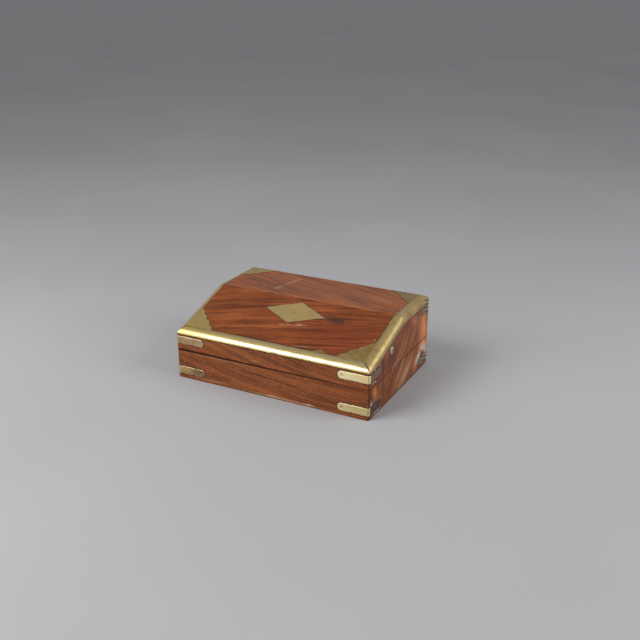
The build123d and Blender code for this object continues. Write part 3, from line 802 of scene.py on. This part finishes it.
# Where brass is treated in its own way, in millimetres
brassPlaces = {
    "end": (149.5, 150.1),  # where the ends begin
    "clean": (103.4, 1.2, 2.4),  # a clean line down the end near the front, and its two half widths
    "chalky": (-84.0, -96.0),  # the chalk gets thicker towards the front
    "thin": (-150.0, -40.0),  # where the lacquer thins out to the left
    "corner": ((147.5, 149.6), (76.0, 90.0)),  # the creased rear corner of the right end
    "fold": 43.9,  # a strap's bend lies where x + y is this, at the right front
    "gold": (112.0, 144.0),  # where a strap gets more golden to the right
    "rim": (4.3, 5.9),  # how far from a strap's middle its rim falls away
    "dish": (4.2, 1.2),  # the pressed dish round a pin
}

# What a finish has if it doesn't say otherwise: how much patina, specks, darkening on the right end (tarnish and
# painted shade) and lacquer, its roughness and brushing, how metallic it is, the lacquer's refraction and roughness,
# dents, other colours
brassDefaults = {
    "patina": 0.05, "specks": 0.6, "ends": 0.0, "lacquer": 0.0, "roughness": 0.48, "brush": (200, 900, 900),
    "metal": 1.0, "shine": 1.5, "glaze": 0.26, "dents": 0.0002, "end": (0.06, 0.05, 0.035),
    "brown": (0.16, 0.1, 0.04), "tarnish": (0.03, 0.024, 0.015), "chalk": (0.5, 0.48, 0.45),
    "rubbed": (0.95, 0.8, 0.48),
}
# Some finishes have more: a golden tint, lacquer that is thinner at the left, the pitch of creases in mm, and dirt
# along a border: direction, place and reach in mm. A piece gets the finish whose name its own name contains, and
# the longest of them where there are several.
acrossSlope = (0, cos(tilt), sin(tilt))
slopeFoot = float(np.dot(acrossSlope, (0, -halfDepth, frontTop)))
edging = dict(brush=(1500, 30, 400), ends=0.3, lacquer=0.35)
plate = dict(brush=(300, 700, 500), roughness=0.46, lacquer=0.1)
brassFinishes = {
    "edging_front": dict(
        bright=(0.7, 0.54, 0.17), dull=(0.29, 0.18, 0.035), patina=-0.05, specks=0.25, roughness=0.56,
        brush=(30, 1500, 1500), ends=0.3, lacquer=1.0, shine=2.35, glaze=0.24, thin=0.85, dents=0.00008,
        border=(acrossSlope, slopeFoot + box["frontFlange"], 7.0)),
    "edging_right": dict(edging,
        bright=(0.79, 0.59, 0.24), dull=(0.44, 0.32, 0.12), patina=0.0, specks=0.5, roughness=0.45, ends=0.6,
        border=((-1, 0, 0), -box["innerBorder"][1], 7.0)),
    "edging_right_flat": dict(edging,
        bright=(0.8, 0.57, 0.24), dull=(0.46, 0.3, 0.11), patina=0.04, roughness=0.43,
        border=((-1, 0, 0), -box["innerBorder"][1], 5.0), creases=5.5),
    "edging_left": dict(edging,
        bright=(0.8, 0.58, 0.23), dull=(0.52, 0.38, 0.15), patina=0.0, specks=0.4, roughness=0.42,
        border=((1, 0, 0), box["innerBorder"][-1], 5.0)),
    "corner_plate": dict(plate, bright=(0.68, 0.49, 0.19), dull=(0.47, 0.33, 0.125), patina=0.02),
    "corner_plate_front_right": dict(plate,
        bright=(0.6, 0.42, 0.15), dull=(0.34, 0.22, 0.075), patina=0.06, specks=0.9),
    "corner_plate_rear_right": dict(plate,
        bright=(0.52, 0.4, 0.2), dull=(0.34, 0.24, 0.12), roughness=0.5, lacquer=0.0),
    "lozenge": dict(
        bright=(0.78, 0.57, 0.23), dull=(0.6, 0.43, 0.17), patina=-0.02, specks=0.35, roughness=0.45,
        brush=(60, 900, 900), lacquer=0.1),
    "lid_strap_front_right": dict(
        bright=(1.0, 0.84, 0.46), dull=(0.66, 0.5, 0.22), patina=-0.14, specks=0.5, roughness=0.5, ends=1.0,
        lacquer=1.0, metal=0.55, end=(0.17, 0.09, 0.06), gold=(0.8, 0.6, 0.22)),
    "lid_strap_front_left": dict(bright=(0.68, 0.48, 0.27), dull=(0.42, 0.28, 0.14), ends=0.95, lacquer=0.2),
    "base_strap_front_right": dict(
        bright=(0.95, 0.76, 0.4), dull=(0.5, 0.38, 0.16), patina=-0.05, specks=0.7, ends=1.0, lacquer=0.6,
        metal=0.9, end=(0.058, 0.038, 0.03), gold=(0.66, 0.5, 0.16)),
    "base_strap_front_left": dict(
        bright=(0.7, 0.49, 0.2), dull=(0.27, 0.16, 0.085), specks=0.9, ends=0.95, lacquer=0.2),
    "strap_rear": dict(
        bright=(0.8, 0.64, 0.34), dull=(0.42, 0.32, 0.15), patina=0.0, specks=0.8, ends=0.9, lacquer=0.3,
        end=(0.13, 0.1, 0.065), creases=5.5),
    "leaf": dict(
        bright=(0.7, 0.52, 0.23), dull=(0.42, 0.3, 0.13), patina=0.1, specks=0.7, roughness=0.4,
        brush=(40, 1200, 1200)),
    "_pins": dict(
        bright=(0.4, 0.28, 0.12), dull=(0.17, 0.12, 0.05), patina=0.12, specks=0.9, roughness=0.5,
        brush=(900, 900, 900), ends=0.5),
    "lid_strap_pins": dict(
        bright=(0.62, 0.48, 0.27), dull=(0.42, 0.3, 0.16), patina=0.02, specks=0.8, brush=(900, 900, 900),
        ends=0.5, lacquer=0.3),
    "washer": dict(
        bright=(0.66, 0.52, 0.38), dull=(0.46, 0.36, 0.26), patina=0.04, specks=0.8, roughness=0.55,
        brush=(900, 900, 900), metal=0.6),
    "screw": dict(
        bright=(0.36, 0.35, 0.32), dull=(0.16, 0.13, 0.1), patina=0.08, specks=0.9, roughness=0.5,
        brush=(900, 300, 900)),
}
brassFinishes["_pin"] = brassFinishes["screw"]  # the hinges' pins


def brassMaterial(finishName, strap):
    # Colour = bright brass, olive where a cloudy noise is high, brown mottling, dark specks.
    # Straps also have a pressed dish round each pin and a rim that falls away at both long sides.
    look = brassDefaults | brassFinishes[finishName]
    material, place = newMaterial(f"brass_{finishName}_{strap}" if strap else "brass_" + finishName)
    cloud, mottle, grit = (noise(place, *brassNoises[kind]) for kind in ("cloud", "mottle", "grit"))
    brush = noise(scaled(place, look["brush"]))
    x, y, z = (part(place, axis) for axis in (toRight, toBack, toTop))
    patina = step(cloud * 0.75 + mottle * 0.25 + look["patina"], 0.42, 0.66)
    specks = step(grit, 0.64, 0.72) * look["specks"]
    browned = step(mottle + look["patina"] * 0.3, 0.56, 0.74)
    layers = [(patina, "dull"), (browned * 0.35, "brown"), (specks * 0.8, "tarnish")]
    rough = patina * 0.14 + mottle * 0.16 + brush * 0.12 + (look["roughness"] - 0.18) + specks * 0.2
    metal = look["metal"] - patina * 0.1 - specks * 0.5
    lacquer = look["lacquer"]
    if "thin" in look:
        lacquer = (step(x, *brassPlaces["thin"]) * look["thin"] + (1.0 - look["thin"])) * lacquer
    bumps = [(cloud, look["dents"]), (mottle, 0.00003), (brush * 0.5 - specks, 0.00001)]
    if "border" in look:
        # Dirt rubbed into the flange beside the wood
        direction, at, reach = look["border"]
        near = step(at - part(place, np.array(direction) * 1000.0) + swing(cloud, 8.0), reach, 0.5)
        layers += [(near * 0.75, "dull"), (near * step(mottle, 0.5, 0.66) * 0.5, "brown")]
        rough = rough + near * 0.08
    if look["ends"]:
        # On the right end the brass is darker, partly tarnish and partly painted shade for the dim reflections there,
        # with chalky crumbs
        line, narrow, wide = brassPlaces["clean"]
        ragged = swing(mottle, 1.2)
        end = step(x + ragged, *brassPlaces["end"]) * step(abs(y + ragged + line), narrow, wide) * look["ends"]
        crumbs = step(grit * 0.35 + mottle * 0.5 + cloud * 0.15, 0.55, 0.63)
        chalky = crumbs * (step(y + ragged, *brassPlaces["chalky"]) * 0.4 + 0.5)
        stained = step(mottle, 0.5, 0.64) * 0.4
        layers.append((end, laid(look["end"], look, [(stained, "brown"), (chalky, "chalk")])))
        metal = metal * (1.0 - end * 0.9)
        rough = rough + end * 0.2
        lacquer = (1.0 - end) * lacquer
    if "creases" in look:
        # The thin metal is creased at the right end's rear corner: a wave, painted dark where high and pale where low,
        # painted shade and highlight of the folds
        cornerX, cornerY = brassPlaces["corner"]
        corner = step(x, *cornerX) * step(y, *cornerY)
        wave = part(place, (0, 200, 1000)) * (2 * pi / look["creases"]) + swing(mottle, 3.0) + 2.1
        wave = wave.math("SINE", wave)
        layers.append((corner * step(wave, 0.1, 0.8) * 0.68, "tarnish"))
        layers.append((corner * step(wave, -0.3, -0.9) * 0.45, "chalk"))
        bumps.append((corner * wave, 0.0003))
    if strap:
        # A dark line down the bend, more gold towards the right, the rim with a painted highlight along it, and the
        # dishes
        middle = straps["bottoms"][strap] + straps["width"] / 2
        fold = step(abs(part(place, (1000, 1000, 0)) - brassPlaces["fold"]) + swing(mottle, 0.5), 0.9, 0.4)
        layers.append((fold * 0.85, "tarnish"))
        if "gold" in look:
            layers.append((step(x, *brassPlaces["gold"]) * (1.0 - end) * 0.6, "gold"))
        rim = step(abs(z - middle), *brassPlaces["rim"])
        dish = rim * 0.0
        mirrored = place.node("VectorMath", {"operation": "ABSOLUTE"}, {0: place})
        for pin in (straps["armPin"], straps["endPins"][strap]):
            sockets = {0: mirrored, 1: tuple(0.001 * c for c in (*pin, middle))}
            away = mirrored.node("VectorMath", {"operation": "DISTANCE"}, sockets, 1)
            dish = dish + step(away * 1000.0, *brassPlaces["dish"])
        bumps.append((-rim - dish * 0.6, 0.0005))
        # Both rims are painted lighter, a painted highlight where they catch the light, except on the right end; the
        # dishes a little browner
        layers += [(rim * (1.0 - step(abs(x), *brassPlaces["end"])) * 0.45, "rubbed"), (dish * 0.18, "brown")]
    return finish(material, place, bumps, Base_Color=laid(look["bright"], look, layers), Metallic=metal,
                  Roughness=rough, Coat_Weight=lacquer, Coat_Roughness=look["glaze"], Coat_IOR=look["shine"])


metals = {}


def metalFor(name):
    finishName = max((known for known in brassFinishes if known in name), key=len)
    isStrap = "strap_" in name and not name.endswith("_pins")
    look = finishName, name.replace("strap_", "").rsplit("_", 1)[0] if isStrap else None
    if look not in metals:
        metals[look] = brassMaterial(*look)
    return metals[look]


for name, node in nodes.items():
    if name not in boards and name != "floor_lining":
        paint(node, metalFor(name))
makePiece("edging_spur", *spurRings(), "lid", metalFor("corner_plate_front_right"))
print("metals finished:", len(metals))

# The felt on the floor, its thickness and its soft edge in metres
felt = {
    "width": 281.0,
    "depth": 191.0,
    "inset": 0.4,  # taken off its width and its depth
    "top": 7.06,  # height of its upper side
    "wave": 0.1,
    "flatEdge": 15.0,  # the waves die out this near the edge
    "cells": (70, 48),
    "thickness": 0.001,
    "edge": 0.0003,
    "colour": (0.13, 0.012, 0.014),
    "lint": (0.22, 0.035, 0.035),
    "faded": (0.2, 0.04, 0.03),
    "dust": (0.35, 0.28, 0.25),
}


def feltSheet(u, v):
    # Height = the felt's upper side, less slow waves that die out towards its edges
    x, y = (u - 0.5) * (felt["width"] - felt["inset"]), (v - 0.5) * (felt["depth"] - felt["inset"])
    border = np.minimum(np.minimum(u, 1 - u) * felt["width"], np.minimum(v, 1 - v) * felt["depth"])
    wave = np.sin(x / 21 + np.sin(y / 34)) * np.sin(y / 17 + 0.7 * np.sin(x / 29))
    height = felt["top"] + felt["wave"] * (wave - 1) * 0.5 * np.minimum(1, border / felt["flatEdge"])
    return np.stack([x, y, height], -1).reshape(-1, 3)


def feltMaterial():
    # Colour = wool red, paler where clumps of fibre stand up, with dust in the hollows. Bump = clumps and fibres.
    material, place = newMaterial("liningFelt")
    clumps = noise(place, 420.0, 4.0, 0.7)
    fibres = noise(place, 2600.0, 3.0, 0.7)
    worn = noise(place, 14.0, 3.0, 0.55)
    colour = tint(step(clumps * 0.7 + fibres * 0.5, 0.5, 0.75) * 0.6, felt["colour"], felt["lint"])
    colour = tint(step(worn, 0.5, 0.75) * 0.3, colour, felt["faded"])
    colour = tint(step(fibres, 0.68, 0.8) * 0.3, colour, felt["dust"])
    return finish(material, place, [(clumps, 0.0004), (fibres, 0.0002)], Base_Color=colour,
                  Roughness=0.88 + 0.1 * clumps, Sheen_Weight=0.12, Sheen_Roughness=0.5)


columns, rows = (cells + 1 for cells in felt["cells"])
u, v = np.meshgrid(np.linspace(0, 1, columns), np.linspace(0, 1, rows))
liningSheet = makePiece("lining_felt", feltSheet(u, v), gridFaces(rows, columns, False, False), "base",
                        feltMaterial(), np.stack([u, v], -1).reshape(-1, 2))
thick = liningSheet.modifiers.new("thickness", "SOLIDIFY")
thick.thickness = felt["thickness"]
thick.offset = -1.0 if liningSheet.data.polygons[0].normal.z > 0 else 1.0
soft = liningSheet.modifiers.new("soft edges", "BEVEL")
soft.width = felt["edge"]
soft.segments = 2
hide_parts("floor_lining")
print("felt laid")

# A plain pale floor, half its width in metres
floorLook = {"half": 30.0, "colour": (0.42, 0.42, 0.43), "mark": (0.39, 0.39, 0.4), "roughness": 0.75}
floorMaterial, place = newMaterial("paleFloor")
finish(floorMaterial, place, [(noise(place, 900.0, 2.0), 0.0001)], Roughness=floorLook["roughness"],
       Base_Color=tint(step(noise(place, 1.5, 4.0), 0.3, 0.7), floorLook["colour"], floorLook["mark"]))
half = floorLook["half"]
floorMesh = bpy.data.meshes.new("floor")
floorMesh.from_pydata([(-half, -half, 0), (half, -half, 0), (half, half, 0), (-half, half, 0)], [], [(0, 1, 2, 3)])
floorMesh.materials.append(floorMaterial)
floor = bpy.data.objects.new("floor", floorMesh)
scene.collection.objects.link(floor)
print("floor laid")
